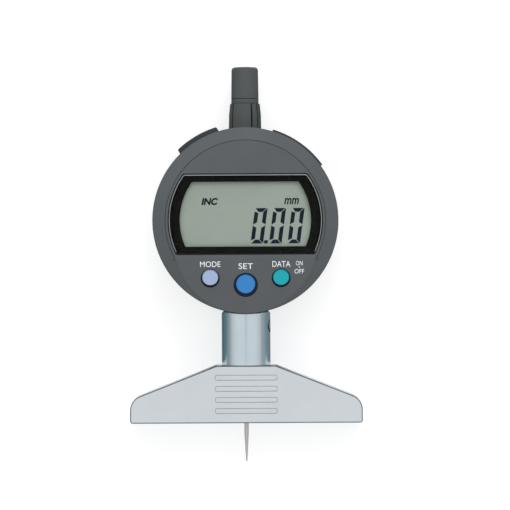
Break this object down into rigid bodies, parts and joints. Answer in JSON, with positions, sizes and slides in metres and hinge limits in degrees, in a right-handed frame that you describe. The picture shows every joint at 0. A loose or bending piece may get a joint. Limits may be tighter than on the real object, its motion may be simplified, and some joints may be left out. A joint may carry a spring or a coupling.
{
  "type": "digital depth gauge",
  "caption": "Round digital indicator with a display and keys, held by its stem in a wide measuring base, with a sliding needle point below.",
  "frame": {"origin": "where the spindle's axis meets the measuring face, the underside of the base", "axes": "+Y up the stem from the measuring face to the cap, +Z out of the display, +X to the right as the display is read; the gauge lies on its back"},
  "size_m": [0.0754, 0.1286, 0.024],
  "materials": {
    "housing": "fine moulded texture, dark grey",
    "case": "moulded, near black grey",
    "window": "clear polished acrylic",
    "mask": "black print",
    "display": "grey-green reflective display",
    "frame": "white moulding",
    "strip": "conductive rubber",
    "key_grey": "satin, pale blue grey",
    "key_blue": "satin, blue",
    "key_teal": "satin, teal",
    "keypad": "grey silicone",
    "board": "green laminate",
    "chip": "black moulding compound",
    "screw": "bright zinc",
    "base": "hardened steel, satin plated and lapped below",
    "sleeve": "turned and satin plated",
    "spindle": "ground steel",
    "needle": "hardened steel",
    "brass": "turned",
    "contact": "gold plated spring strip",
    "carrier": "machined",
    "scale": "glass with a fine conductive pattern",
    "seal": "soft black",
    "tray": "moulded, near black",
    "lid": "dark grey elastomer",
    "cell": "nickel plated can"
  },
  "bodies": {
    "case": {"front_cover": "housing", "display_window": "window", "display_mask": "mask", "lcd_panel": "display", "display_frame": "frame", "elastomer_strips": "strip", "keypad_membrane": "keypad", "circuit_board": "board", "board_components": "chip", "board_screws": "screw", "reader_head": "board", "rear_case": "case", "case_gasket": "seal", "back_cover": "case", "back_screws": "screw", "spindle_cap": "case", "guide_rail": "brass", "rail_screws": "screw", "return_spring": "spindle", "stop_washer": "seal", "upper_bush": "brass", "lower_bush": "brass", "stem": "spindle", "stem_sleeve": "sleeve", "clamp_screw": "screw", "measuring_base": "base", "battery_contacts": "contact", "data_connector": "chip", "connector_pins": "contact"},
    "spindle_train": {"spindle": "spindle", "needle_point": "needle", "scale_carrier": "carrier", "scale_plate": "scale", "guide_pin": "spindle"},
    "mode_key": {"mode_button": "key_grey"},
    "set_key": {"set_button": "key_blue"},
    "data_key": {"data_button": "key_teal"},
    "battery_drawer": {"battery_tray": "tray", "battery_cell": "cell"},
    "port_lid": {"port_cover": "lid"}
  },
  "joints": [
    {"name": "spindle_slide", "type": "slide", "parent": "case", "child": "spindle_train", "axis": [0, 1, 0], "range_m": [0, 0.013], "stiffness_N_per_m": 30, "springref_m": -0.03, "deforming": ["return_spring"]},
    {"name": "mode_press", "type": "slide", "parent": "case", "child": "mode_key", "axis": [0, 0.1219, -0.9925], "range_m": [0, 0.0005], "stiffness_N_per_m": 800, "springref_m": -0.0005},
    {"name": "set_press", "type": "slide", "parent": "case", "child": "set_key", "axis": [0, 0.1219, -0.9925], "range_m": [0, 0.0005], "stiffness_N_per_m": 800, "springref_m": -0.0005},
    {"name": "data_press", "type": "slide", "parent": "case", "child": "data_key", "axis": [0, 0.1219, -0.9925], "range_m": [0, 0.0005], "stiffness_N_per_m": 800, "springref_m": -0.0005},
    {"name": "battery_slide", "type": "slide", "parent": "case", "child": "battery_drawer", "axis": [-0.5037, 0.8639, 0], "range_m": [0, 0.015]},
    {"name": "port_lid_pull", "type": "slide", "parent": "case", "child": "port_lid", "axis": [0.5831, 0.8124, 0], "range_m": [0, 0.008]}
  ]
}
